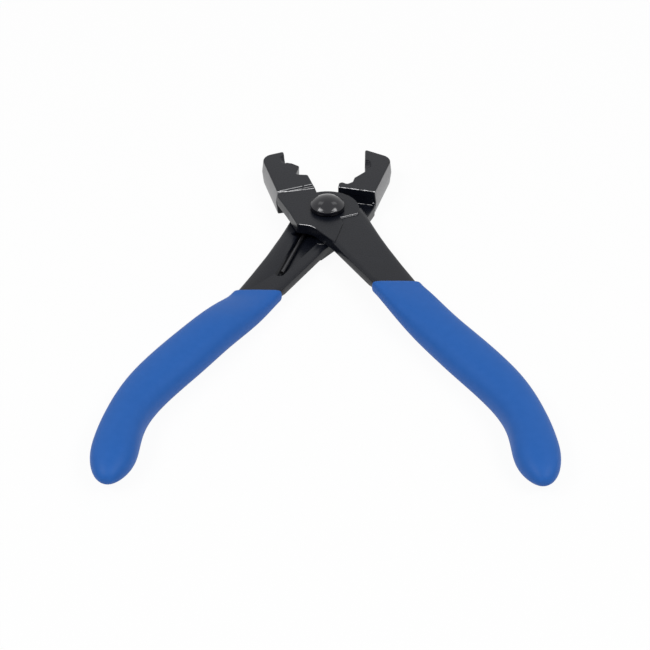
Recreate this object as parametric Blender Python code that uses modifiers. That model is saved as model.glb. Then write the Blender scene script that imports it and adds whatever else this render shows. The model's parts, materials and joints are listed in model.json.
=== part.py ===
"""Hose clamp pliers: two forged levers lapped on one rivet, a torsion spring between them
that holds them open, and two dipped vinyl grips. The tool lies flat and stands open.

The origin is on the pivot axis, at the flat face of the rivet's tail, which is level with
the undersides of the grips. +Z runs up the rivet, +Y points to the jaws, and the handles
run towards -Y. Both levers have one form, half a turn apart about the Y axis, and only
their jaws differ, so each lever piece is described once, as the upper lever has it: its
jaw is on the left and its handle on the right.
"""

from math import acos, ceil, cos, pi, radians, sin, sqrt, tan

import bmesh
import bpy
from mathutils import Matrix, Vector

# Clearances, cuts and welds
FIT_GAP = 0.0003
CUT_OVERRUN = 0.002
WELD_DISTANCE = 0.000001
FLAT_ANGLE = radians(1)
SHARP_ANGLE = radians(30)
BEVEL_ANGLE = radians(40)
PLATE_RELIEF = 0.0001

# Heights
TAIL_HEIGHT = 0.0012
LAP_THICKNESS = 0.0039
FACE_STEP = 0.0005
MIDDLE = TAIL_HEIGHT + LAP_THICKNESS
LAP_FACE = MIDDLE + FIT_GAP / 2
LAP_BACK = MIDDLE + LAP_THICKNESS
JAW_BACK = LAP_BACK + FACE_STEP
NECK_BACK = LAP_BACK - FACE_STEP

# Rivet
SHANK_RADIUS = 0.0037
HEAD_RADIUS = 0.00555
HEAD_SIDE = 0.0013
HEAD_DOME = 0.0022
HEAD_ROUND = 0.0004
TAIL_RADIUS = 0.0048
TAIL_CHAMFER = 0.0003

# Lap plate: the boss round the rivet, the flank beside it and the crotch of the handle
BOSS_RADIUS = 0.0104
BOSS_START = radians(-16)
BOSS_END = radians(110)
CROTCH_RADIUS = 0.0113
CROTCH_ANGLE = radians(-117)
CROTCH_ROUND = 0.0150
FLANK_FOOT = 0.0097
FLANK_DROP = 0.0094
FLANK_BEND_DROP = 0.0022
PLATE_EDGE = 0.0004
PLATE_ROUND = 0.0010
PLATE_LAP = 0.0020
PLATE_INSET = 0.0003

# Raised rim beside the recessed panel of the neck
PANEL_START = 0.0045
PANEL_SLOPE = radians(23)
PANEL_SIDE = 0.0042
RIM_WIDTH = 0.0016
RIM_LENGTH = 0.0090

# Jaws
JAW_LENGTH = 0.0252
JAW_SPREAD = 0.0230
JAW_EDGE = 0.0005
JAW_DRAFT = 0.0005
CORNER_ROUND = 0.0042
TIP_ROUND = 0.0006
TOOTH_ROUND = 0.0003
ROOT_ROUND = 0.0008
SHOULDER_GAP = 0.0022
SHOULDER_SLOPE = radians(13)
STEP_SLOPE = radians(22)
STEP_HEIGHT = 0.0159
STEP_RAMP = 0.0010
RELIEF_WIDTH = 0.0040
RELIEF_DEPTH = 0.0010
RELIEF_BORDER = 0.0012
RELIEF_ROUND = 0.0006
SCOOP_WIDTH = 0.0032
SCOOP_LENGTH = 0.0056
SCOOP_DEPTH = 0.0010

# Neck of the handle, from the boss to the mouth of the grip; headings are from -Y
NECK_LENGTH = 0.0415
NECK_HALF_WIDTH = 0.0060
NECK_SPREAD = 0.0017
NECK_FLARE = 0.0034
NECK_HEADING = radians(28)
MOUTH_SIDE = 0.0211
MOUTH_DROP = 0.0404

# Grip: a dipped vinyl sleeve, closed at its end, over the tang of the lever
GRIP_LENGTH = 0.0956
GRIP_HEADING = radians(32.9)
END_HEADING = radians(3)
GRIP_HALF_WIDTH = 0.0075
GRIP_WALL = 0.0013
MOUTH_WALL = 0.0004
MOUTH_TAPER = 0.0200
MOUTH_SKEW = 0.0140
LIP_ROUND = 0.0002
END_ROUND = 0.0140
END_WALL = 0.0020
TANG_END_GAP = 0.0010

# Return spring and its pocket on the lap side of each lever
WIRE_RADIUS = 0.0006
COIL_RADIUS = 0.0049
COIL_PITCH = 0.00165
WHOLE_TURNS = 1
LEG_HEADING = radians(17)
LEG_LENGTH = 0.0322
POCKET_CLEARANCE = 0.0009
FAN_RADIUS = 0.0148
FAN_DEPTH = 0.0012
FAN_START = radians(-37)
FAN_END = radians(-87)
GROOVE_RADIUS = 0.0014
GROOVE_REACH = 0.0019
GROOVE_ROOT = 0.0060

# Shares along the grip, from its mouth: where it leaves the neck's heading, where it bends
# in again, where it thickens, and its width
SPLAY_SHARES = (0.00, 0.20)
BEND_SHARES = (0.45, 0.92)
SWELL_SHARES = (0.03, 0.28)
WIDTH_SHARES = (
    (0.00, 0.92),
    (0.28, 0.95),
    (0.40, 1.00),
    (0.56, 0.94),
    (0.70, 0.80),
    (1.00, 0.86),
)

# Jaw outlines from the outer foot, over the tip, to the throat: across as a share of the
# spread, up from the shoulder as a share of the length, and which rounding each corner has
UPPER_JAW_SHARES = (
    (0.739, 0.000, 0),
    (1.012, 0.955, CORNER_ROUND),
    (0.662, 1.003, TIP_ROUND),
    (0.627, 0.717, ROOT_ROUND),
    (0.530, 0.675, TOOTH_ROUND),
    (0.420, 0.578, TOOTH_ROUND),
    (0.462, 0.380, ROOT_ROUND),
    (0.290, 0.335, ROOT_ROUND),
    (0.186, 0.000, 0),
)
LOWER_JAW_SHARES = (
    (0.700, 0.000, 0),
    (0.974, 0.922, CORNER_ROUND),
    (0.552, 1.040, TIP_ROUND),
    (0.542, 0.472, ROOT_ROUND),
    (0.386, 0.285, TOOTH_ROUND),
    (0.360, 0.178, ROOT_ROUND),
    (0.280, 0.109, ROOT_ROUND),
    (0.210, 0.141, ROOT_ROUND),
    (0.164, 0.104, TOOTH_ROUND),
    (0.148, 0.000, 0),
)
FLANK_BEND_SHARE = 0.730
UPPER_SCOOP_SHARES = (0.640, 0.800)
LOWER_SCOOP_SHARES = (0.573, 0.660)

# Facets
ARC_ERROR = 0.000025
BORE_STEPS = 32
RIVET_STEPS = 48
DOME_STEPS = 7
SCOOP_STEPS = 16
RING_POINTS = 24
NECK_STATIONS = 7
GRIP_STATIONS = 14
END_STATIONS = 5
SPINE_STEPS = 200
TURN_POINTS = 24
WIRE_RESOLUTION = 1
STEEL_SQUARENESS = 8
GRIP_SQUARENESS = 2.5


def smooth(low, high, value):
    """0 before low, 1 after high, and an even curve between."""
    share = min(max((value - low) / (high - low), 0), 1)
    return share * share * (3 - 2 * share)


def eased(shares, place):
    """The value of a table of shares at a place, easing from row to row."""
    for (low, before), (high, after) in zip(shares, shares[1:]):
        if place <= high:
            return before + (after - before) * smooth(low, high, place)
    return shares[-1][1]


def arc_steps(radius, turn):
    """How many facets a turn takes so that none cuts deeper into the arc than ARC_ERROR."""
    widest = 2 * acos(max(1 - ARC_ERROR / radius, 0))
    return max(1, ceil(abs(turn) / widest))


def arc(radius, start, end, centre=(0, 0)):
    """Points along an arc, both ends included."""
    steps = arc_steps(radius, end - start)
    angles = [start + (end - start) * step / steps for step in range(steps + 1)]
    return [Vector((centre[0] + radius * cos(a), centre[1] + radius * sin(a))) for a in angles]


def rounded(corners):
    """An outline through corners (x, y, radius). A radius is limited by the sides it joins."""
    points = []
    for index, (x, y, radius) in enumerate(corners):
        corner = Vector((x, y))
        back = Vector(corners[index - 1][:2]) - corner
        ahead = Vector(corners[(index + 1) % len(corners)][:2]) - corner
        half = back.angle(ahead) / 2
        reach = min(radius / tan(half), back.length / 2, ahead.length / 2)
        if reach <= WELD_DISTANCE:
            points.append(corner)
            continue
        start = corner + back.normalized() * reach
        middle = corner + (back.normalized() + ahead.normalized()).normalized() * reach / cos(half)
        steps = arc_steps(radius, pi - 2 * half)
        turn = (pi - 2 * half) / steps * (1 if back.cross(ahead) < 0 else -1)
        for step in range(steps + 1):
            points.append(middle + Matrix.Rotation(turn * step, 2) @ (start - middle))
    return points


def finish(name, mesh, material, collection, parent):
    mesh.shade_smooth()
    mesh.set_sharp_from_angle(angle=SHARP_ANGLE)
    if material:
        mesh.materials.append(material)
    obj = bpy.data.objects.new(name, mesh)
    obj.parent = parent
    collection.objects.link(obj)
    if collection is cutters:
        obj.hide_render = True
        obj.display_type = "WIRE"
    return obj


def flat_solid(name, points, low, high, material, collection, parent):
    """A flat outline, filled and drawn up from one height to another."""
    curve = bpy.data.curves.new(name, "CURVE")
    curve.dimensions = "2D"
    curve.fill_mode = "BOTH"
    curve.extrude = (high - low) / 2
    spline = curve.splines.new("POLY")
    spline.points.add(len(points) - 1)
    for point, place in zip(spline.points, points):
        point.co = (place.x, place.y, 0, 1)
    spline.use_cyclic_u = True
    return finish(name, solid_mesh(name, curve, (low + high) / 2), material, collection, parent)


def solid_mesh(name, curve, height=0):
    """The closed mesh of a curve, lifted to a height, with its caps welded on."""
    sketch = bpy.data.objects.new(name, curve)
    bpy.context.scene.collection.objects.link(sketch)
    bpy.context.view_layer.update()
    seen = sketch.evaluated_get(bpy.context.evaluated_depsgraph_get())
    mesh = bpy.data.meshes.new_from_object(seen)
    bpy.data.objects.remove(sketch)
    bpy.data.curves.remove(curve)
    mesh.transform(Matrix.Translation((0, 0, height)))
    bm = bmesh.new()
    bm.from_mesh(mesh)
    bmesh.ops.remove_doubles(bm, verts=bm.verts, dist=WELD_DISTANCE)
    bmesh.ops.dissolve_limit(bm, angle_limit=FLAT_ANGLE, verts=bm.verts, edges=bm.edges)
    bmesh.ops.recalc_face_normals(bm, faces=bm.faces)
    bm.to_mesh(mesh)
    bm.free()
    return mesh


def loft(name, rings, material, collection, parent):
    """A skin over rings of equally many points, closed by a flat face at each end."""
    bm = bmesh.new()
    rows = [[bm.verts.new(point) for point in ring] for ring in rings]
    for row, following in zip(rows, rows[1:]):
        for index in range(len(row)):
            after = (index + 1) % len(row)
            bm.faces.new((row[index], row[after], following[after], following[index]))
    bm.faces.new(rows[0])
    bm.faces.new(rows[-1])
    bmesh.ops.recalc_face_normals(bm, faces=bm.faces)
    mesh = bpy.data.meshes.new(name)
    bm.to_mesh(mesh)
    bm.free()
    return finish(name, mesh, material, collection, parent)


def turned(name, profile, steps, material, collection, parent):
    """A profile at +X, listed down its outer side, turned about the Z axis."""
    mesh = bpy.data.meshes.new(name)
    points = [(radius, 0, height) for radius, height in profile]
    mesh.from_pydata(points, [(i, i + 1) for i in range(len(points) - 1)], [])
    obj = finish(name, mesh, material, collection, parent)
    screw = obj.modifiers.new("turn", "SCREW")
    screw.steps = screw.render_steps = steps
    screw.use_merge_vertices = True
    screw.merge_threshold = WELD_DISTANCE
    return obj


def bore(name, radius, low, high, parent):
    profile = [(0, high), (radius, high), (radius, low), (0, low)]
    return turned(name, profile, BORE_STEPS, None, cutters, parent)


def bevel(obj, width):
    edge = obj.modifiers.new("edges", "BEVEL")
    edge.width = width
    edge.segments = 2
    edge.limit_method = "ANGLE"
    edge.angle_limit = BEVEL_ANGLE


def weld(obj):
    """Joins the points that a bevel leaves on top of each other, which a cut can't take."""
    join = obj.modifiers.new("weld", "WELD")
    join.merge_threshold = WELD_DISTANCE


def combine(obj, other, operation):
    join = obj.modifiers.new(other.name, "BOOLEAN")
    join.object = other
    join.operation = operation
    join.solver = "EXACT"


def plain_material(name, colour, roughness, metallic):
    material = bpy.data.materials.new(name)
    material.use_nodes = True
    shader = material.node_tree.nodes["Principled BSDF"]
    shader.inputs["Base Color"].default_value = (*colour, 1)
    shader.inputs["Roughness"].default_value = roughness
    shader.inputs["Metallic"].default_value = metallic
    material.diffuse_color = (*colour, 1)
    return material


def shoulder(across):
    """How far up the shoulder of a jaw lies at a place across; it clears the other boss."""
    return (BOSS_RADIUS + SHOULDER_GAP) / cos(SHOULDER_SLOPE) - across * tan(SHOULDER_SLOPE)


def jaw_outline(shares):
    corners = []
    for across_share, up_share, radius in shares:
        across = across_share * JAW_SPREAD
        corners.append((-across, shoulder(across) + up_share * JAW_LENGTH, radius))
    return rounded(corners)


def make_jaw(name, shares, parent):
    """The jaw block. Its outer side stands out at mid thickness, where the forging dies meet."""
    outline = jaw_outline(shares)
    flank = shares[0][0] * JAW_SPREAD - WELD_DISTANCE
    drawn_in = Vector((JAW_DRAFT, 0))
    face = [point + drawn_in if -point.x > flank else point for point in outline]
    levels = ((face, 2 * MIDDLE - JAW_BACK), (outline, MIDDLE), (face, JAW_BACK))
    rings = [[(point.x, point.y, height) for point in ring] for ring, height in levels]
    jaw = loft(name, rings, steel, pliers, parent)
    bevel(jaw, JAW_EDGE)
    weld(jaw)
    return jaw


def make_scoop(name, shares, height, parent):
    """Cutter for the shallow hollow beside the inner edge of a hook, at one face of the jaw."""
    across_share, up_share = shares
    across = across_share * JAW_SPREAD
    up = shoulder(across) + up_share * JAW_LENGTH
    bm = bmesh.new()
    bmesh.ops.create_uvsphere(bm, u_segments=SCOOP_STEPS, v_segments=SCOOP_STEPS // 2, radius=1)
    bmesh.ops.scale(bm, vec=(SCOOP_WIDTH / 2, SCOOP_LENGTH / 2, SCOOP_DEPTH), verts=bm.verts)
    bmesh.ops.translate(bm, vec=(-across, up, height), verts=bm.verts)
    mesh = bpy.data.meshes.new(name)
    bm.to_mesh(mesh)
    bm.free()
    return finish(name, mesh, None, cutters, parent)


def heading_at(along):
    """The heading of the handle at a distance along it from the mouth of the grip."""
    splay = smooth(*SPLAY_SHARES, along / GRIP_LENGTH)
    bend = smooth(*BEND_SHARES, along / GRIP_LENGTH)
    heading = NECK_HEADING + (GRIP_HEADING - NECK_HEADING) * splay
    return heading + (END_HEADING - GRIP_HEADING) * bend


def spine(along):
    """The middle line of the handle, as (x, y), found by walking from the grip's mouth."""
    steps = SPINE_STEPS if along > 0 else 1
    place = Vector((MOUTH_SIDE, -MOUTH_DROP))
    for step in range(steps):
        heading = heading_at(along * (step + 1 / 2) / steps)
        place += Vector((sin(heading), -cos(heading))) * along / steps
    return place


def section(along, inner, outer, half_height, height, squareness, skew=0):
    """A ring across the handle; inner and outer are its half widths on those sides.

    Without a skew it is square to the handle, and with a skew of 1 it runs along X.
    """
    place = spine(along)
    heading = heading_at(along)
    side = Vector((cos(heading), sin(heading)))
    side += Vector((sin(heading), -cos(heading))) * tan(heading) * skew
    ring = []
    for index in range(RING_POINTS):
        turn = 2 * pi * index / RING_POINTS
        across, up = (
            abs(part) ** (2 / squareness) * (1 if part > 0 else -1) for part in (cos(turn), sin(turn))
        )
        across *= outer if across > 0 else inner
        point = place + side * across
        ring.append((point.x, point.y, height + up * half_height))
    return ring


NECK_HALF_HEIGHT = (NECK_BACK - LAP_FACE) / 2
NECK_MIDDLE = (NECK_BACK + LAP_FACE) / 2


def swell(along):
    return smooth(*SWELL_SHARES, along / GRIP_LENGTH)


def grip_wall(along):
    return MOUTH_WALL + (GRIP_WALL - MOUTH_WALL) * smooth(0, MOUTH_TAPER, along)


def grip_section(along, inset):
    """The section of the grip, drawn in by an inset from its outer skin."""
    mouth_width = NECK_HALF_WIDTH + FIT_GAP + grip_wall(along)
    mouth_height = NECK_HALF_HEIGHT + FIT_GAP + grip_wall(along)
    grown = swell(along)
    full = GRIP_HALF_WIDTH * eased(WIDTH_SHARES, along / GRIP_LENGTH)
    width = mouth_width + (full - mouth_width) * grown
    height = mouth_height + (MIDDLE - mouth_height) * grown
    past = max(along - (GRIP_LENGTH - END_ROUND), 0) / END_ROUND
    cap = sqrt(max(1 - past * past, 0))
    middle = NECK_MIDDLE + (MIDDLE - NECK_MIDDLE) * grown
    squareness = STEEL_SQUARENESS / 2 + (GRIP_SQUARENESS - STEEL_SQUARENESS / 2) * grown
    width = width * cap - inset
    skew = 1 - smooth(0, MOUTH_SKEW, along)
    return section(along, width, width, height * cap - inset, middle, squareness, skew)


def grip_stations(length):
    return [length * index / (GRIP_STATIONS - 1) for index in range(GRIP_STATIONS)]


def make_grip(name, material, collection, parent):
    """One sleeve: up its outside from the end to the mouth, and down inside to the cavity's end."""
    body = GRIP_LENGTH - END_ROUND
    rings = []
    for index in range(END_STATIONS, 0, -1):
        past = sin(pi / 2 * (index - 1 / 4) / END_STATIONS)
        rings.append(grip_section(body + END_ROUND * past, 0))
    rings += [grip_section(along, 0) for along in reversed(grip_stations(body)[1:])]
    rings.append(grip_section(LIP_ROUND, 0))
    rings.append(grip_section(0, LIP_ROUND))
    rings.append(grip_section(0, MOUTH_WALL))
    for along in grip_stations(body - END_WALL)[1:]:
        rings.append(grip_section(along, grip_wall(along)))
    return loft(name, rings, material, collection, parent)


def make_handle(name, collection, parent):
    """The neck and the tang inside the grip, as one forged bar."""
    rings = []
    for index in range(NECK_STATIONS):
        share = 1 - index / NECK_STATIONS
        inner = NECK_HALF_WIDTH + NECK_SPREAD * share
        outer = inner + NECK_FLARE * share * share
        along = -NECK_LENGTH * share
        rings.append(
            section(along, inner, outer, NECK_HALF_HEIGHT, NECK_MIDDLE, STEEL_SQUARENESS)
        )
    tang = GRIP_LENGTH - END_ROUND - END_WALL - TANG_END_GAP
    for along in grip_stations(tang):
        rings.append(grip_section(along, grip_wall(along) + FIT_GAP))
    return loft(name, rings, None, collection, parent)


def plate_outline(shares):
    """The lap plate: boss, root of the jaw, flank, crotch and the rim beside the panel."""
    foot = shares[0][0] * JAW_SPREAD
    throat = shares[-1][0] * JAW_SPREAD
    panel = (PANEL_SIDE, -PANEL_START - PANEL_SIDE * tan(PANEL_SLOPE) / 2)
    rim_end = spine(-NECK_LENGTH + PANEL_START + RIM_LENGTH)
    across = Vector((cos(NECK_HEADING), sin(NECK_HEADING)))
    share = (NECK_LENGTH - PANEL_START - RIM_LENGTH) / NECK_LENGTH
    edge = rim_end - across * (NECK_HALF_WIDTH + NECK_SPREAD * share - PLATE_INSET)
    inside = edge + across * RIM_WIDTH / 2
    boss = arc(BOSS_RADIUS, BOSS_START, BOSS_END)
    base = shoulder(foot)
    left = [
        (-throat - PLATE_INSET, shoulder(throat) + PLATE_LAP, 0),
        (-foot + JAW_DRAFT, base + PLATE_LAP, 0),
        (-foot + JAW_DRAFT, base - PLATE_LAP, PLATE_ROUND),
        (-foot * FLANK_BEND_SHARE, -FLANK_BEND_DROP, PLATE_ROUND),
        (-FLANK_FOOT, -FLANK_DROP, PLATE_ROUND),
        (CROTCH_RADIUS * cos(CROTCH_ANGLE), CROTCH_RADIUS * sin(CROTCH_ANGLE), CROTCH_ROUND),
    ]
    right = [
        (edge.x, edge.y, 0),
        (inside.x, inside.y, 0),
        (panel[0] + RIM_WIDTH / 2, panel[1] - RIM_WIDTH * 2, 0),
        (*panel, PLATE_EDGE),
    ]
    return rounded(left + right + [(*point, 0) for point in boss])


def groove_outline():
    """The leg's groove: round at its end and widening to the fan on its inner side."""
    foot = COIL_RADIUS * Vector((cos(LEG_HEADING), sin(LEG_HEADING)))
    ahead = Vector((sin(LEG_HEADING), -cos(LEG_HEADING)))
    across = Vector((cos(LEG_HEADING), sin(LEG_HEADING)))
    end = foot + ahead * (LEG_LENGTH + GROOVE_REACH)
    root = foot + ahead * FAN_RADIUS
    round_end = arc(GROOVE_RADIUS, LEG_HEADING, LEG_HEADING - pi, end)
    return [foot + across * GROOVE_RADIUS, *round_end, root - across * GROOVE_ROOT, foot]


def relief_outline(shares):
    """The sunk strip along the foot of the shoulder, where the other lever's boss swings by."""
    outer = shares[0][0] * JAW_SPREAD - RELIEF_BORDER
    inner = shares[-1][0] * JAW_SPREAD
    back = PLATE_RELIEF
    corners = []
    for across, up, radius in (
        (outer, -RELIEF_WIDTH, RELIEF_ROUND),
        (outer, back, RELIEF_ROUND),
        (inner, back, 0),
        (inner, -RELIEF_WIDTH, 0),
    ):
        corners.append((-across, shoulder(across) + up, radius))
    return rounded(corners)


def make_step(name, parent):
    """Cutter for all that lies before the slanting line where the raised face of the jaw ends.

    Its wall leans back, so the raised face ends in a ramp.
    """
    rings = []
    for height in (LAP_BACK + PLATE_RELIEF, JAW_BACK + CUT_OVERRUN):
        line = STEP_HEIGHT + STEP_RAMP * (height - JAW_BACK) / FACE_STEP
        ends = [(x, line + x * tan(STEP_SLOPE), height) for x in (-JAW_SPREAD, JAW_SPREAD)]
        ring = [*ends, (JAW_SPREAD, -JAW_SPREAD, height), (-JAW_SPREAD, -JAW_SPREAD, height)]
        rings.append(ring)
    return loft(name, rings, None, cutters, parent)


def make_lever(name, shares, scoop_shares, parent):
    """A jaw block with the lap plate and the handle joined on, then bored and pocketed."""
    lever = make_jaw(name, shares, parent)
    for side, height in (("upper", JAW_BACK), ("lower", 2 * MIDDLE - JAW_BACK)):
        scoop = make_scoop(f"{name}_scoop_{side}", scoop_shares, height, parent)
        combine(lever, scoop, "DIFFERENCE")
    outline = plate_outline(shares)
    plate_low = LAP_FACE + PLATE_RELIEF
    plate = flat_solid(name + "_plate", outline, plate_low, LAP_BACK, None, cutters, parent)
    bevel(plate, PLATE_EDGE)
    combine(lever, plate, "UNION")
    combine(lever, make_handle(name + "_handle", cutters, parent), "UNION")

    top = LAP_BACK + CUT_OVERRUN
    floor = MIDDLE + COIL_RISE / 2 + WIRE_RADIUS + FIT_GAP
    pocket_radius = COIL_RADIUS + WIRE_RADIUS + POCKET_CLEARANCE
    low = MIDDLE - CUT_OVERRUN
    combine(lever, bore(name + "_bore", SHANK_RADIUS + FIT_GAP, low, top, parent), "DIFFERENCE")
    combine(lever, bore(name + "_pocket", pocket_radius, low, floor, parent), "DIFFERENCE")
    fan = [Vector((0, 0)), *arc(FAN_RADIUS, FAN_START, FAN_END)]
    cuts = (
        ("_fan", fan, low, MIDDLE + FAN_DEPTH),
        ("_groove", groove_outline(), low, floor),
        ("_relief", relief_outline(shares), low, LAP_FACE + RELIEF_DEPTH),
    )
    for ending, points, start, stop in cuts:
        cut = flat_solid(name + ending, points, start, stop, None, cutters, parent)
        combine(lever, cut, "DIFFERENCE")
    combine(lever, make_step(name + "_step", parent), "DIFFERENCE")
    return lever


def make_rivet():
    """Domed head on top of the laps, shank, and a flat flanged tail below them."""
    under_head = LAP_BACK + FIT_GAP
    rim = under_head + HEAD_SIDE
    edge = HEAD_RADIUS - HEAD_ROUND
    ball = (edge * edge + HEAD_DOME * HEAD_DOME) / (2 * HEAD_DOME)
    top = rim + HEAD_ROUND + HEAD_DOME
    profile = []
    for step in range(DOME_STEPS):
        radius = edge * step / (DOME_STEPS - 1)
        profile.append((radius, top - ball + sqrt(ball * ball - radius * radius)))
    tail_back = 2 * MIDDLE - LAP_BACK - FIT_GAP
    profile += [
        (HEAD_RADIUS, rim),
        (HEAD_RADIUS, under_head),
        (SHANK_RADIUS, under_head),
        (SHANK_RADIUS, tail_back),
        (TAIL_RADIUS, tail_back),
        (TAIL_RADIUS, TAIL_CHAMFER),
        (TAIL_RADIUS - TAIL_CHAMFER, 0),
        (0, 0),
    ]
    return turned("pivot_rivet", profile, RIVET_STEPS, rivet_black, pliers, upper_body)


COIL_SWEEP = 2 * pi * WHOLE_TURNS + pi - 2 * LEG_HEADING
COIL_RISE = COIL_PITCH * COIL_SWEEP / (2 * pi)


def spring_route():
    """From the end of the upper leg, down round the coil, to the end of the lower leg."""
    low = MIDDLE - COIL_RISE / 2
    high = MIDDLE + COIL_RISE / 2
    foot = COIL_RADIUS * Vector((cos(LEG_HEADING), sin(LEG_HEADING)))
    end = foot + LEG_LENGTH * Vector((sin(LEG_HEADING), -cos(LEG_HEADING)))
    count = ceil(TURN_POINTS * COIL_SWEEP / (2 * pi))
    route = [Vector((end.x, end.y, high))]
    for index in range(count + 1):
        turn = LEG_HEADING + COIL_SWEEP * index / count
        height = high - COIL_RISE * index / count
        route.append(Vector((COIL_RADIUS * cos(turn), COIL_RADIUS * sin(turn), height)))
    route.append(Vector((-end.x, end.y, low)))
    return route


def make_spring():
    route = spring_route()
    curve = bpy.data.curves.new("return_spring", "CURVE")
    curve.dimensions = "3D"
    curve.bevel_depth = WIRE_RADIUS
    curve.bevel_resolution = WIRE_RESOLUTION
    curve.use_fill_caps = True
    spline = curve.splines.new("POLY")
    spline.points.add(len(route) - 1)
    for point, place in zip(spline.points, route):
        point.co = (*place, 1)
    coil = route[1:-1]
    apart = TURN_POINTS // 2
    gaps = [
        (coil[j] - coil[i]).length - 2 * WIRE_RADIUS
        for i in range(len(coil))
        for j in range(i + apart, len(coil))
    ]
    print(f"least gap of the spring to itself: {min(gaps):.5f} m")
    return finish("return_spring", solid_mesh("return_spring", curve), spring_steel, pliers, None)


for old in list(bpy.data.objects):
    bpy.data.objects.remove(old)
pliers = bpy.data.collections.new("hose_clamp_pliers")
cutters = bpy.data.collections.new("cutters")
for collection in (pliers, cutters):
    bpy.context.scene.collection.children.link(collection)
cutters.hide_render = True

steel = plain_material("black_steel", (0.030, 0.031, 0.035), 0.36, 0.7)
rivet_black = plain_material("rivet_black", (0.012, 0.012, 0.014), 0.22, 0.7)
spring_steel = plain_material("spring_steel", (0.08, 0.08, 0.08), 0.30, 0.9)
blue_vinyl = plain_material("blue_vinyl", (0.045, 0.135, 0.46), 0.45, 0.0)

upper_body = bpy.data.objects.new("upper_body", None)
lower_body = bpy.data.objects.new("lower_body", None)
for body in (upper_body, lower_body):
    pliers.objects.link(body)
lower_body.location.z = 2 * MIDDLE
lower_body.rotation_euler.y = pi

make_lever("upper_lever", UPPER_JAW_SHARES, UPPER_SCOOP_SHARES, upper_body)
make_lever("lower_lever", LOWER_JAW_SHARES, LOWER_SCOOP_SHARES, lower_body)
make_grip("upper_grip", blue_vinyl, pliers, upper_body)
make_grip("lower_grip", blue_vinyl, pliers, lower_body)
make_rivet()
make_spring()
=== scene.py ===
# %% [markdown]
# # Hose clamp pliers
# These pliers close the small clamps that hold fuel and coolant hoses. Two forged levers
# cross on one rivet, a torsion spring holds them open, and both handles are dipped in blue
# vinyl. The engineering model already has each solid at its true size. This file keeps it
# as a fixed frame and dresses it: it draws smooth grips, a rivet and a spring over the
# plain ones, gives every surface a finish, and sets up the table, the light and the camera.
# The first cell loads that frame.

# %% Load the imported model
import json
from math import asin, atan2, ceil, cos, pi, radians, sin

import bmesh
import bpy
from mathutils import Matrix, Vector

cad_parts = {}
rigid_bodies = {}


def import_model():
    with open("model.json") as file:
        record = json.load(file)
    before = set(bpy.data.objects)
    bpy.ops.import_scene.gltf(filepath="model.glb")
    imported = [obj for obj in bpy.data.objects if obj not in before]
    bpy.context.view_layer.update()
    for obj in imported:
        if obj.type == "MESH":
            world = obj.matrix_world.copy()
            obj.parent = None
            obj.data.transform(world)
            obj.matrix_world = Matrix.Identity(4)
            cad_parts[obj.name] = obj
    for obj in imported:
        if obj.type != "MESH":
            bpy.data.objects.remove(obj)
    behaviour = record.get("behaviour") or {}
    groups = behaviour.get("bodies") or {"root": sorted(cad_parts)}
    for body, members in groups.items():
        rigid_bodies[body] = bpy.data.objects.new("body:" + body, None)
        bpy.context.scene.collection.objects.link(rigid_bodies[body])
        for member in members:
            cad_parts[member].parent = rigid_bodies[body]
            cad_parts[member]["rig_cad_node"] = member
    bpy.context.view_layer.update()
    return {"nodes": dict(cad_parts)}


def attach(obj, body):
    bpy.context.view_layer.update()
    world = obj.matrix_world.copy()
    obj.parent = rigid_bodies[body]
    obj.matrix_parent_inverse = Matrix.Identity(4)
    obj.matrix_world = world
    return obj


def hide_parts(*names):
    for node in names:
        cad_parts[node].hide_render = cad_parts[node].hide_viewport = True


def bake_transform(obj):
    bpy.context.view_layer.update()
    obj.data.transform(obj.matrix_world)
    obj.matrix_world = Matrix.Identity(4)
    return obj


MM = 0.001

for startup_object in list(bpy.data.objects):
    bpy.data.objects.remove(startup_object)
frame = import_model()
print("model:", sorted(frame["nodes"]))

# %% [markdown]
# ## The forged levers
# The engineering solid of a lever is a shell of loose triangles, which is right for
# measuring but coarse to look at. So a copy is taken and its triangles are merged into
# whole faces: points closer than SAME_POINT become one, and triangles whose tilt differs
# by less than SAME_PLANE become one face. The lever could be modelled anew, but the
# solid's outline is already the measured one. An operator acts on whatever is selected,
# so a small helper first deselects everything.

# %% Copy a solid and make its faces whole
SAME_POINT = 0.005 * MM
SAME_PLANE = radians(1.5)


def start_fresh():
    if bpy.context.object and bpy.context.object.mode != "OBJECT":
        bpy.ops.object.mode_set(mode="OBJECT")
    bpy.ops.object.select_all(action="DESELECT")


def whole_copy(node, name):
    start_fresh()
    solid = frame["nodes"][node]
    solid.select_set(True)
    bpy.context.view_layer.objects.active = solid
    bpy.ops.object.duplicate()
    bpy.ops.object.mode_set(mode="EDIT")
    bpy.ops.mesh.select_all(action="SELECT")
    bpy.ops.mesh.remove_doubles(threshold=SAME_POINT)
    bpy.ops.mesh.dissolve_limited(angle_limit=SAME_PLANE)
    bpy.ops.object.mode_set(mode="OBJECT")
    piece = bpy.context.object
    piece.name = piece.data.name = name
    del piece["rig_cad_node"]
    print(name, "has", len(piece.data.polygons), "whole faces")
    return piece
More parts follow.
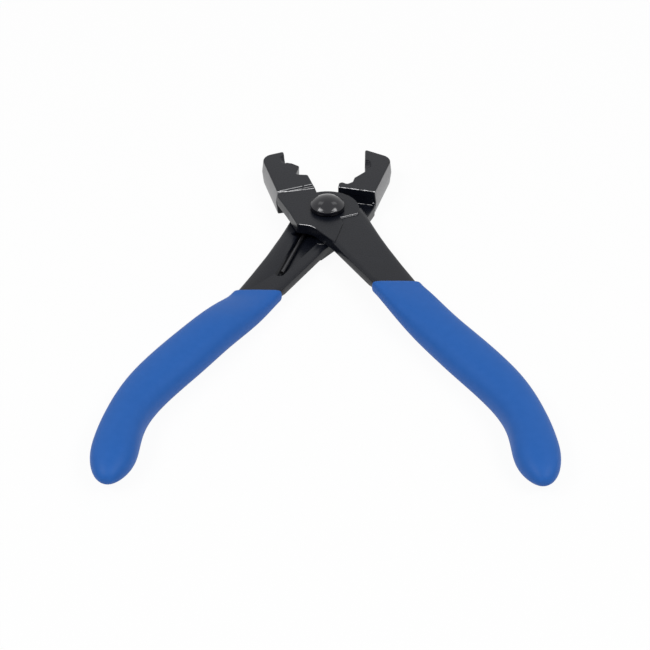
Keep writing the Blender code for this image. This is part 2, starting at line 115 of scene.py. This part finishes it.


# %% [markdown]
# Some corners near the pivot are bevelled a little, and the finish paints their new faces
# as bright bare steel: a painted highlight that stands in for the glints of the lamps along
# those edges. Those edges alone are picked, by where they are, how sharp they are and which
# way they look. A profile of a half rounds the corner, and a profile of one keeps it sharp
# between two narrow strips, which is right for the lip of the fan, where only the flat
# beside the corner carries the painted glint.

# %% The corners that carry painted glints
TOWARD_THE_HANDLES = Vector((0, -1, 1)).normalized()
TO_THE_PIVOT = Vector((0, 1, 1)).normalized()
LEAST_FOLD = radians(25)
SAME_WAY = 0.8
# Each place is a corner whose bevel is painted as bright steel, a painted highlight; its last
# value is the strength of that painted glint.
GLINT_CORNERS = {
    "foot of the jaw": {
        "across": (-0.0300, 0.0300),
        "along": (0.0040, 0.0210),
        "facing": TOWARD_THE_HANDLES,
        "width": 0.00012,
        "profile": 0.5,
        "painted_shine": 0.8,
    },
    "corner of the crotch": {
        "across": (-0.0100, -0.0018),
        "along": (-0.0180, -0.0040),
        "facing": TOWARD_THE_HANDLES,
        "width": 0.00010,
        "profile": 0.5,
        "painted_shine": 0.7,
    },
    "end of the rim": {
        "across": (0.0030, 0.0100),
        "along": (-0.0080, 0.0020),
        "facing": TOWARD_THE_HANDLES,
        "width": 0.00008,
        "profile": 0.5,
        "painted_shine": 0.6,
    },
    "lip of the fan": {
        "across": (-0.0046, -0.0006),
        "along": (-0.0156, -0.0126),
        "facing": TO_THE_PIVOT,
        "width": 0.00045,
        "profile": 1.0,
        "painted_shine": 0.9,
    },
}


def gets_painted_glint(edge, corner):
    if len(edge.link_faces) != 2 or edge.calc_face_angle() < LEAST_FOLD:
        return False
    middle = (edge.verts[0].co + edge.verts[1].co) / 2
    facing = (edge.link_faces[0].normal + edge.link_faces[1].normal).normalized()
    left, right = corner["across"]
    front, back = corner["along"]
    near = left < middle.x < right and front < middle.y < back
    return near and facing.dot(corner["facing"]) > SAME_WAY


# %% [markdown]
# The finish has to find the bevelled faces again. The bevel puts its faces into a second
# material slot, and from there each is given a number, which says how strong the painted
# glint on it is.

# %% Bevel the corners and mark their painted glints
def face_numbers(piece, name):
    return piece.data.attributes.new(name, "FLOAT", "FACE").name


def bevel_glint_corner(piece, corner):
    bpy.ops.object.mode_set(mode="EDIT")
    mesh = bmesh.from_edit_mesh(piece.data)
    mesh.select_mode = {"EDGE"}
    for edge in mesh.edges:
        edge.select = gets_painted_glint(edge, corner)
    mesh.select_flush_mode()
    bmesh.update_edit_mesh(piece.data)
    width, profile = corner["width"], corner["profile"]
    bpy.ops.mesh.bevel(offset=width, segments=2, profile=profile, affect="EDGES", material=1)
    bpy.ops.object.mode_set(mode="OBJECT")
    # Each bevel face gets the strength of its place's painted highlight.
    painted_shine = piece.data.attributes["painted_glint"].data
    for face in piece.data.polygons:
        if face.material_index == 1:
            painted_shine[face.index].value = corner["painted_shine"]
            face.material_index = 0


def bevel_glint_corners(piece):
    face_numbers(piece, "painted_glint")
    piece.data.materials.append(piece.data.materials[0])
    for corner in GLINT_CORNERS.values():
        bevel_glint_corner(piece, corner)
    piece.data.materials.pop()


# %% [markdown]
# The outer sides of the jaws are marked as well: the finish paints a sheen of bare steel
# on them, a painted reflection that lightens that side of each jaw.

# %% Dress the two levers
LEAST_OUTWARDS = 0.6
MOST_TILT = 0.3
JAW_START = 0.004
LEVER_SMOOTHING = radians(50)


def mark_sheen_side(piece, outwards):
    """Marks the faces of a jaw's outer side for the painted sheen; outwards is the sign of X
    there.
    """
    painted_side_sheen = piece.data.attributes[face_numbers(piece, "painted_side_sheen")].data
    for face in piece.data.polygons:
        is_side = face.normal.x * outwards > LEAST_OUTWARDS and abs(face.normal.z) < MOST_TILT
        # Marked faces get a painted sheen of bright steel in the finish.
        painted_side_sheen[face.index].value = is_side and face.center.y > JAW_START


def forge(node, name, body, outwards):
    forging = whole_copy(node, name)
    bevel_glint_corners(forging)
    mark_sheen_side(forging, outwards)
    bpy.ops.object.shade_smooth_by_angle(angle=LEVER_SMOOTHING)
    level = forging.modifiers.new("level", "WEIGHTED_NORMAL")
    level.keep_sharp = True
    bpy.ops.object.modifier_apply(modifier=level.name)
    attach(forging, body)
    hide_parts(node)
    print(name, "has", len(forging.data.polygons), "faces with painted glints on its corners")
    return forging


upper_forging = forge("upper_lever", "upper_forging", "upper", -1)
lower_forging = forge("lower_lever", "lower_forging", "lower", 1)

# %% [markdown]
# ## The dipped grips
# A grip starts as a thin lip round the flat neck, swells into a soft oval for the palm,
# bends in again and ends in a dome. It could be a curve with a bevel, but a curve can't
# change its section along the way. Here one ring of sixteen points is drawn at the mouth
# and then extruded from station to station. Each row of the table is one ring: the X and
# Y of its middle, how far it is turned from the X axis, its half width and half height,
# the height of its middle, and how square it is, from 2 for an oval up to 6 for the flat
# bar of the neck. The rounding that comes later draws a ring in a little, so each one is
# drawn larger by the factor CAGE.

# %% The rings of a grip, in millimetres and degrees
GRIP_RINGS = (
    (21.15, -40.45, 0.0, 7.28, 2.14, 6.88, 6.0),
    (21.30, -40.80, 0.0, 7.50, 2.45, 6.88, 5.0),
    (22.04, -42.17, 1.3, 7.44, 2.55, 6.88, 4.0),
    (23.47, -44.80, 7.5, 7.24, 2.75, 6.84, 3.6),
    (25.44, -48.28, 20.6, 7.06, 3.30, 6.58, 3.2),
    (28.03, -52.56, 32.0, 7.13, 4.05, 6.05, 2.8),
    (31.26, -57.61, 32.9, 7.16, 4.80, 5.40, 2.5),
    (34.52, -62.65, 32.9, 7.18, 5.10, 5.10, 2.4),
    (38.32, -68.53, 32.9, 7.36, 5.10, 5.10, 2.4),
    (42.13, -74.41, 32.9, 7.46, 5.10, 5.10, 2.4),
    (45.92, -80.29, 32.2, 7.28, 5.10, 5.10, 2.4),
    (49.48, -86.32, 28.4, 7.02, 5.10, 5.10, 2.4),
    (52.49, -92.63, 22.4, 6.50, 5.10, 5.10, 2.4),
    (54.76, -99.25, 15.5, 6.08, 5.10, 5.10, 2.4),
    (56.13, -106.09, 9.0, 6.19, 5.10, 5.10, 2.4),
    (56.71, -112.64, 4.6, 6.51, 5.10, 5.10, 2.4),
    (56.97, -116.54, 3.3, 6.35, 4.90, 5.10, 2.4),
    (57.26, -120.03, 3.0, 5.60, 4.33, 5.10, 2.3),
    (57.60, -123.03, 3.0, 4.30, 3.41, 5.10, 2.2),
    (57.71, -125.22, 3.0, 2.81, 2.22, 5.10, 2.0),
    (57.77, -126.32, 3.0, 1.33, 1.05, 5.10, 2.0),
)
RING_POINTS = 16
CAGE = 1.020
print("rings in a grip:", len(GRIP_RINGS))

# %% [markdown]
# Only what is selected is changed by an operator, and the frame's parts are all selected
# once they are loaded. So a piece begins with nothing selected. A helper then picks
# vertices by a rule about their place, and two more resize and turn them as the mouse
# would. With no window open, the turn runs the other way, and it needs its own centre.
# The last helper ends a piece.

# %% Helpers that work as a hand does in edit mode
def pick(rule):
    """Selects the vertices of the mesh in edit mode that pass a rule."""
    cage = bpy.context.object.data
    mesh = bmesh.from_edit_mesh(cage)
    mesh.select_mode = {"VERT"}
    for vert in mesh.verts:
        vert.select = bool(rule(vert))
    mesh.select_flush_mode()
    bmesh.update_edit_mesh(cage)


def picked():
    mesh = bmesh.from_edit_mesh(bpy.context.object.data)
    return {vert.index for vert in mesh.verts if vert.select}


def resize(factors, centre):
    bpy.ops.transform.resize(value=factors, center_override=centre)


def turn(angle, centre, axis="Z"):
    bpy.ops.transform.rotate(value=-angle, orient_axis=axis, center_override=centre)


def settle(name):
    """Ends a piece: object mode, a name, its place in its mesh and its faces outwards."""
    bpy.ops.mesh.select_all(action="SELECT")
    bpy.ops.mesh.normals_make_consistent(inside=False)
    bpy.ops.object.mode_set(mode="OBJECT")
    bpy.ops.object.transform_apply(location=True, rotation=True, scale=True)
    piece = bpy.context.object
    piece.name = piece.data.name = name
    return piece


# %% [markdown]
# A ring starts as a circle, which is a section of squareness 2. To square it up, the
# points at a given angle are pushed outwards together, three groups in turn. The same
# push brings a ring from one squareness to the next, so that the flat lip at the mouth
# grows into the oval of the palm.

# %% Square up the selected ring
PUSHED_ANGLES = (radians(22.5), radians(45), radians(67.5))
ANGLE_SLACK = radians(5)


def square_up(centre, half_width, half_height, before, after):
    ring = picked()
    for angle in PUSHED_ANGLES:

        def at_angle(vert):
            if vert.index not in ring:
                return False
            across = abs((vert.co.x - centre.x) / half_width) ** (before / 2)
            up = abs((vert.co.z - centre.z) / half_height) ** (before / 2)
            return abs(atan2(up, across) - angle) < ANGLE_SLACK

        pick(at_angle)
        push = 2 / after - 2 / before
        resize((cos(angle) ** push, 1, sin(angle) ** push), centre)
    pick(lambda vert: vert.index in ring)


# %% Draw the sleeve from its mouth to its end
def draw_sleeve(rows):
    start_fresh()
    bpy.ops.mesh.primitive_circle_add(vertices=RING_POINTS, radius=1, rotation=(pi / 2, 0, 0))
    bpy.ops.object.transform_apply(location=True, rotation=True, scale=True)
    bpy.ops.object.mode_set(mode="EDIT")
    bpy.ops.mesh.select_all(action="SELECT")
    place, heading, width, height, square = Vector(), 0, 1, 1, 2
    for index, (x, y, degrees, half_width, half_height, z, squareness) in enumerate(rows):
        if index:
            bpy.ops.mesh.extrude_region_move()
        turn(-heading, place)
        new_width, new_height = half_width * CAGE * MM, half_height * CAGE * MM
        resize((new_width / width, 1, new_height / height), place)
        width, height = new_width, new_height
        square_up(place, width, height, square, squareness)
        heading, square = radians(degrees), squareness
        turn(heading, place)
        step = Vector((x, y, z)) * MM - place
        bpy.ops.transform.translate(value=step)
        place += step
    bpy.ops.mesh.fill_grid()
    return settle("right_grip")


right_grip = draw_sleeve(GRIP_RINGS)
print("sleeve:", len(right_grip.data.vertices), "vertices in the cage")

# %% [markdown]
# The sleeve is only a skin so far. Solidify gives it the wall of a dipped coat, which is
# thin at the lip and full from the palm on, so the rings near the mouth get less of the
# wall's weight. Subdivision then rounds everything. Both are applied, because what leaves
# this file is a plain mesh. The other handle is the same forging turned over, so its grip
# is a copy turned half round about the Y axis, at the height where the two laps meet.

# %% Give the sleeve its wall and copy it to the other handle
WALL = 1.3 * MM
WALL_SHARES = (0.40, 0.52, 0.62, 0.80)
LAP_HEIGHT = 5.1 * MM


def thicken(piece):
    wall = piece.vertex_groups.new(name="wall")
    wall.add(range(len(piece.data.vertices)), 1, "REPLACE")
    for ring, share in enumerate(WALL_SHARES):
        wall.add(range(ring * RING_POINTS, (ring + 1) * RING_POINTS), share, "REPLACE")
    solidify = piece.modifiers.new("wall", "SOLIDIFY")
    solidify.thickness = WALL
    solidify.offset = -1
    solidify.vertex_group = "wall"
    rounding = piece.modifiers.new("rounding", "SUBSURF")
    rounding.levels = rounding.render_levels = 2
    for modifier in (solidify.name, rounding.name):
        bpy.ops.object.modifier_apply(modifier=modifier)
    bpy.ops.object.shade_smooth()


def turned_over(piece, name):
    bpy.ops.object.duplicate()
    bpy.ops.object.mode_set(mode="EDIT")
    bpy.ops.mesh.select_all(action="SELECT")
    turn(pi, (0, 0, LAP_HEIGHT), axis="Y")
    return settle(name)


thicken(right_grip)
left_grip = turned_over(right_grip, "left_grip")
sleeves = ((right_grip, "upper", "upper_grip"), (left_grip, "lower", "lower_grip"))
for grip, body, node in sleeves:
    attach(grip, body)
    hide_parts(node)
    reach = [max(vert.co[axis] for vert in grip.data.vertices) for axis in range(3)]
    print(grip.name, "reaches", [round(value / MM, 2) for value in reach])

# %% [markdown]
# ## The pivot rivet
# The rivet is a turned and headed pin: a flat flange below the laps, a shank through
# them, and a domed head above. It could be spun from a profile, but a disc that is
# extruded and resized ring by ring, as on a lathe, shows each diameter as it is cut.

# %% Turn the rivet
RIVET_SIDES = 96
RIVET_FOOT = 4.35
HEAD_EDGE = 5.35
RIVET_STEPS = (
    (4.70, 0.12),
    (4.80, 0.32),
    (4.80, 0.82),
    (4.72, 0.90),
    (3.70, 0.90),
    (3.70, 9.30),
    (HEAD_EDGE, 9.30),
    (5.50, 9.36),
    (5.55, 9.48),
    (5.55, 10.45),
)
HEAD_SHOULDER = ((5.51, 10.66), (5.45, 10.80))
DOME_RINGS = 12
DOME_TOP = 13.2
DOME_BALL = 7.3
ROUND_SMOOTHING = radians(35)


def lathe(foot, steps):
    """Raises a disc through rings of given radius and height, in millimetres."""
    bpy.ops.mesh.primitive_circle_add(vertices=RIVET_SIDES, radius=foot * MM, fill_type="NGON")
    bpy.ops.object.mode_set(mode="EDIT")
    bpy.ops.mesh.select_all(action="SELECT")
    radius, height = foot, 0
    for new_radius, new_height in steps:
        rise = (0, 0, (new_height - height) * MM)
        bpy.ops.mesh.extrude_region_move(TRANSFORM_OT_translate={"value": rise})
        factor = new_radius / radius
        resize((factor, factor, 1), (0, 0, new_height * MM))
        radius, height = new_radius, new_height
    bpy.ops.mesh.poke()


def dome_steps():
    """Rings from the rounded shoulder of the head up to its crown."""
    tilt = asin(HEAD_EDGE / DOME_BALL)
    rings = list(HEAD_SHOULDER)
    for index in range(DOME_RINGS):
        angle = tilt * (1 - index / DOME_RINGS)
        rings.append((DOME_BALL * sin(angle), DOME_TOP - DOME_BALL * (1 - cos(angle))))
    return rings


start_fresh()
lathe(RIVET_FOOT, RIVET_STEPS + tuple(dome_steps()))
rivet = settle("rivet")
bpy.ops.object.shade_smooth_by_angle(angle=ROUND_SMOOTHING)
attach(rivet, "upper")
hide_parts("pivot_rivet")

# %% [markdown]
# ## The return spring
# One and a half turns of wire lie in a round pocket between the laps, and each end runs
# out along a groove in one lever. A wire is a curve with a round section. It could bend
# at a few soft points, but a coil is a helix, so its points are worked out, thirty-six to
# the turn. The curve becomes a mesh, and the points of its end caps are joined to it.

# %% Wind the spring
WIRE_RADIUS = 0.0006
COIL_RADIUS = 0.0049
COIL_PITCH = 0.00165
LEG_HEADING = radians(17)
LEG_LENGTH = 0.0322
TURN_POINTS = 36
SAME_WIRE_POINT = 0.01 * MM
COIL_SWEEP = 3 * pi - 2 * LEG_HEADING
COIL_RISE = COIL_PITCH * COIL_SWEEP / (2 * pi)


def spring_route():
    top = LAP_HEIGHT + COIL_RISE / 2
    foot = COIL_RADIUS * Vector((cos(LEG_HEADING), sin(LEG_HEADING)))
    end = foot + LEG_LENGTH * Vector((sin(LEG_HEADING), -cos(LEG_HEADING)))
    route = [Vector((end.x, end.y, top))]
    count = ceil(TURN_POINTS * COIL_SWEEP / (2 * pi))
    for index in range(count + 1):
        angle = LEG_HEADING + COIL_SWEEP * index / count
        height = top - COIL_RISE * index / count
        route.append(Vector((COIL_RADIUS * cos(angle), COIL_RADIUS * sin(angle), height)))
    return route + [Vector((-end.x, end.y, top - COIL_RISE))]


def wind(route):
    wire = bpy.data.curves.new("spring", "CURVE")
    wire.dimensions = "3D"
    wire.bevel_depth = WIRE_RADIUS
    wire.bevel_resolution = 3
    wire.use_fill_caps = True
    line = wire.splines.new("POLY")
    line.points.add(len(route) - 1)
    for point, place in zip(line.points, route):
        point.co = (*place, 1)
    piece = bpy.data.objects.new("spring", wire)
    bpy.context.scene.collection.objects.link(piece)
    bpy.context.view_layer.objects.active = piece
    piece.select_set(True)
    bpy.ops.object.convert(target="MESH")


start_fresh()
wind(spring_route())
bpy.ops.object.mode_set(mode="EDIT")
bpy.ops.mesh.select_all(action="SELECT")
bpy.ops.mesh.remove_doubles(threshold=SAME_WIRE_POINT)
spring = settle("spring")
bpy.ops.object.shade_smooth_by_angle(angle=ROUND_SMOOTHING)
print("spring:", len(spring.data.polygons), "faces")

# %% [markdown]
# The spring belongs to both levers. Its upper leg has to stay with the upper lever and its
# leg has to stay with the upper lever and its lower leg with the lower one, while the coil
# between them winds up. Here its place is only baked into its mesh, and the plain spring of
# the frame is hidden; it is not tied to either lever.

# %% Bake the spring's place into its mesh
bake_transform(spring)
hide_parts("return_spring")

# %% [markdown]
# ## Finishes
# A finish is a small sum: a colour or a gloss plus a little grain. Node sockets are
# wrapped so that such sums are written as plain arithmetic, and each sum adds its Math
# node. Every other kind of node comes from one method, which takes the node's type, its
# settings and the values or links of its sockets. A noise counts its scale per metre, so
# a scale of 260 gives patches of about 4 mm.

# %% Write node trees as arithmetic
class Signal:
    def __init__(self, nodes, socket):
        self.nodes = nodes
        self.socket = socket

    def __add__(self, other):
        return self.nodes.math("ADD", self, other)

    def __mul__(self, other):
        return self.nodes.math("MULTIPLY", self, other)

    __radd__ = __add__
    __rmul__ = __mul__


class Nodes:
    def __init__(self, tree):
        self.tree = tree

    def add(self, kind, settings=None, values=None, output=0):
        node = self.tree.nodes.new(kind)
        for name, setting in (settings or {}).items():
            setattr(node, name, setting)
        for key, value in (values or {}).items():
            self.feed(node.inputs[key], value)
        return Signal(self, node.outputs[output])

    def feed(self, socket, value):
        if isinstance(value, Signal):
            self.tree.links.new(value.socket, socket)
        else:
            socket.default_value = value

    def math(self, operation, *values):
        return self.add("ShaderNodeMath", {"operation": operation}, dict(enumerate(values)))


class Finish(Nodes):
    """A material whose surface starts as one plain shader."""

    def __init__(self, name, roughness):
        self.material = bpy.data.materials.new(name)
        self.material.use_nodes = True
        super().__init__(self.material.node_tree)
        self.surface = self.tree.nodes["Principled BSDF"]
        self.place = self.add("ShaderNodeTexCoord", output="Object")
        self.set("Roughness", roughness)

    def set(self, name, value):
        self.feed(self.surface.inputs[name], value)

    def noise(self, scale, detail=2, roughness=0.5):
        values = {"Vector": self.place, "Scale": scale, "Detail": detail, "Roughness": roughness}
        return self.add("ShaderNodeTexNoise", None, values)

    def mix(self, share, first, second):
        settings = {"data_type": "RGBA"}
        values = {"Factor": share}
        for socket, colour in (("A", first), ("B", second)):
            values[socket] = colour if isinstance(colour, Signal) else (*colour, 1)
        return self.add("ShaderNodeMix", settings, values, "Result")

    def bump(self, height, distance, strength=1):
        values = {"Height": height, "Distance": distance, "Strength": strength}
        self.set("Normal", self.add("ShaderNodeBump", None, values))


print("node helpers ready")

# %% [markdown]
# ## Blacked steel
# The levers are forged, cut free of their flash and given a thin black coat. The coat
# hardly has a colour of its own: almost all that is seen on it is the room, mirrored
# faintly in a satin surface. So the base is nearly black, and what matters is the gloss.
# Forging leaves shallow waves of a few millimetres, and the coat adds a fine grain. Bright
# bare steel is mixed in on the chosen corners as painted highlights, in patches, and on the
# outer sides of the jaws as a painted sheen.

# %% Black coat of the levers
WAVE_SCALE = 260
PATCH_SCALE = 900
GRAIN_SCALE = 4200
BLACK_COAT = ((0.0032, 0.004, 0.0072), (0.0058, 0.007, 0.0115))
# The bright steel that is mixed in for the painted highlights and the painted sheen.
PAINTED_SHINE_STEEL = (0.55, 0.55, 0.56)


def wear(piece, material):
    piece.data.materials.clear()
    piece.data.materials.append(material)
    print(piece.name, "wears", material.name)


def make_black_steel():
    coat = Finish("black_steel", 0.25)
    waves = coat.noise(WAVE_SCALE)
    grain = coat.noise(GRAIN_SCALE, 3, 0.6)
    patch_range = {"Value": coat.noise(PATCH_SCALE), "From Min": 0.30, "From Max": 0.46}
    patches = coat.add("ShaderNodeMapRange", None, patch_range)
    painted_glint, painted_side_sheen = (
        coat.add("ShaderNodeAttribute", {"attribute_name": name}, output="Fac")
        for name in ("painted_glint", "painted_side_sheen")
    )
    # Painted light: the painted glints on the corners, broken into patches, and the painted
    # sheen on the jaws' outer sides, as a share of bright steel.
    painted_shine = painted_glint * patches + painted_side_sheen * (0.10 + waves * 0.2 + grain * 0.2)
    coat.set("Base Color", coat.mix(painted_shine, coat.mix(waves, *BLACK_COAT), PAINTED_SHINE_STEEL))
    coat.set("Metallic", painted_shine * 0.9)
    coat.set("Roughness", 0.20 + waves * 0.06 + grain * 0.08 + painted_shine * 0.15)
    coat.set("IOR", 1.30)
    coat.bump(waves * 0.7 + grain * 0.3, 0.00004, 0.5)
    return coat.material


black_steel = make_black_steel()
for forging in (upper_forging, lower_forging):
    wear(forging, black_steel)

# %% [markdown]
# ## Rivet and spring
# The rivet's head is smoother than the forgings, so the lamps show in it as two small
# bright patches. The spring is blacked wire, a metal with a fine, slightly paler grain.

# %% Finishes of the rivet and the spring
def make_rivet_black():
    coat = Finish("rivet_black", 0.16)
    grain = coat.noise(3000, 3, 0.6)
    coat.set("Base Color", (0.003, 0.0032, 0.007, 1))
    coat.set("Roughness", 0.10 + grain * 0.07)
    coat.set("IOR", 1.50)
    coat.bump(grain, 0.00002, 0.3)
    return coat.material


def make_spring_steel():
    wire = Finish("spring_steel", 0.30)
    grain = wire.noise(5200, 2, 0.6)
    wire.set("Metallic", 0.9)
    wire.set("Roughness", 0.22 + grain * 0.16)
    wire.set("Base Color", wire.mix(grain, (0.03, 0.03, 0.034), (0.09, 0.09, 0.095)))
    return wire.material


wear(rivet, make_rivet_black())
wear(spring, make_spring_steel())

# %% [markdown]
# ## Dipped vinyl
# Vinyl is a soft plastic with a satin skin. Its colour hardly changes, but the skin has
# a faint orange peel of about 2 mm, and a finer tooth that breaks up the shine.

# %% Blue vinyl of the grips
PEEL_SCALE = 420
TOOTH_SCALE = 5000
VINYL_BLUE = ((0.015, 0.102, 0.38), (0.022, 0.117, 0.42))


def make_blue_vinyl():
    skin = Finish("blue_vinyl", 0.45)
    peel = skin.noise(PEEL_SCALE)
    tooth = skin.noise(TOOTH_SCALE, 2, 0.6)
    skin.set("Base Color", skin.mix(peel, *VINYL_BLUE))
    skin.set("Roughness", 0.42 + peel * 0.06 + tooth * 0.08)
    skin.set("IOR", 1.26)
    skin.bump(peel * 0.7 + tooth * 0.3, 0.00005, 0.35)
    return skin.material


blue_vinyl = make_blue_vinyl()
wear(right_grip, blue_vinyl)
wear(left_grip, blue_vinyl)

# %% [markdown]
# ## Table, room and lamps
# The pliers lie on a white table in a white room. A black gloss shows whatever is around
# it, so the room is white to the camera and in reflections, but gives only a plain level
# of light. The table does the same, and keeps a share of the shadow that falls on it.

# %% White room and white table
ROOM_LIGHT = 0.30
TABLE_SIZE = 4.0
TABLE_GLOW = 0.94


def seen(nodes):
    """1 for what the camera or a reflection sees, and 0 for the light that falls on things."""
    kinds = ("Is Camera Ray", "Is Glossy Ray", "Is Transmission Ray")
    camera, glossy, passing = (nodes.add("ShaderNodeLightPath", output=kind) for kind in kinds)
    return nodes.math("MAXIMUM", nodes.math("MAXIMUM", camera, glossy), passing)


def make_room():
    world = bpy.data.worlds.new("white_room")
    world.use_nodes = True
    bpy.context.scene.world = world
    nodes = Nodes(world.node_tree)
    background = world.node_tree.nodes["Background"]
    nodes.feed(background.inputs["Color"], (1, 1, 1, 1))
    nodes.feed(background.inputs["Strength"], ROOM_LIGHT + seen(nodes) * (1 - ROOM_LIGHT))


def make_table():
    start_fresh()
    bpy.ops.mesh.primitive_plane_add(size=TABLE_SIZE)
    table = bpy.context.object
    table.name = "table"
    top = Finish("white_table", 0.6)
    top.set("Base Color", (0.85, 0.85, 0.85, 1))
    glow = top.add("ShaderNodeEmission", None, {"Strength": 1})
    shares = {0: seen(top) * TABLE_GLOW, 1: Signal(top, top.surface.outputs[0]), 2: glow}
    mixed = top.add("ShaderNodeMixShader", None, shares)
    top.feed(top.tree.nodes["Material Output"].inputs["Surface"], mixed)
    wear(table, top.material)


make_room()
make_table()
print("room light", ROOM_LIGHT)

# %% [markdown]
# Two soft lamps hang in front, to the left and right, and a faint pair behind. The front
# ones model the grips and leave the pair of glints on the rivet's head. The faint ones
# add almost no light and only show as two pale patches above the glints.

# %% Four lamps
LAMPS = {
    "front": {
        "place": Vector((0.610, -0.430, 0.876)),
        "width": 0.70,
        "height": 0.28,
        "power": 5.5,
    },
    "back": {
        "place": Vector((0.520, 0.400, 0.950)),
        "width": 0.28,
        "height": 0.42,
        "power": 0.50,
    },
}
TO_THE_LEFT = Vector((-1, 1, 1))


def hang_lamp(name, place, width, height, power):
    lamp = bpy.data.lights.new(name, "AREA")
    lamp.shape = "RECTANGLE"
    lamp.size = width
    lamp.size_y = height
    lamp.energy = power
    holder = bpy.data.objects.new(name, lamp)
    holder.location = place
    holder.rotation_euler = (-place).to_track_quat("-Z", "Y").to_euler()
    bpy.context.scene.collection.objects.link(holder)
    print(name, "hangs at", [round(value, 3) for value in place])


for name, lamp in LAMPS.items():
    mirrored = {**lamp, "place": lamp["place"] * TO_THE_LEFT}
    hang_lamp("right_" + name + "_lamp", **lamp)
    hang_lamp("left_" + name + "_lamp", **mirrored)

# %% [markdown]
# ## Camera
# The photograph looks down at the jaws from the handles' side. Its lens and place were
# found by fitting the outlines of the rivet, the jaws and the grips.

# %% Camera at the photograph's angle
CAMERA_DISTANCE = 0.4361
CAMERA_HEIGHT = 0.2922
CAMERA_SIDE = -0.0008
CAMERA_DIP = radians(37.19)
CAMERA_SWING = radians(0.35)
CAMERA_ANGLE = radians(23.02)

lens = bpy.data.cameras.new("camera")
lens.angle = CAMERA_ANGLE
lens.clip_start = 0.01
camera = bpy.data.objects.new("camera", lens)
bpy.context.scene.collection.objects.link(camera)
across = Vector((cos(CAMERA_SWING), sin(CAMERA_SWING), 0))
away = Vector((sin(CAMERA_SWING), -cos(CAMERA_SWING), 0))
camera.location = across * CAMERA_SIDE + away * CAMERA_DISTANCE + Vector((0, 0, CAMERA_HEIGHT))
camera.rotation_euler = (pi / 2 - CAMERA_DIP, 0, CAMERA_SWING)
bpy.context.scene.camera = camera
bpy.context.scene.view_settings.view_transform = "Standard"
print("camera at", [round(value, 4) for value in camera.location])

# %% [markdown]
# ## Last step
# The view layer is brought up to date.

# %% Bring the view layer up to date
bpy.context.view_layer.update()
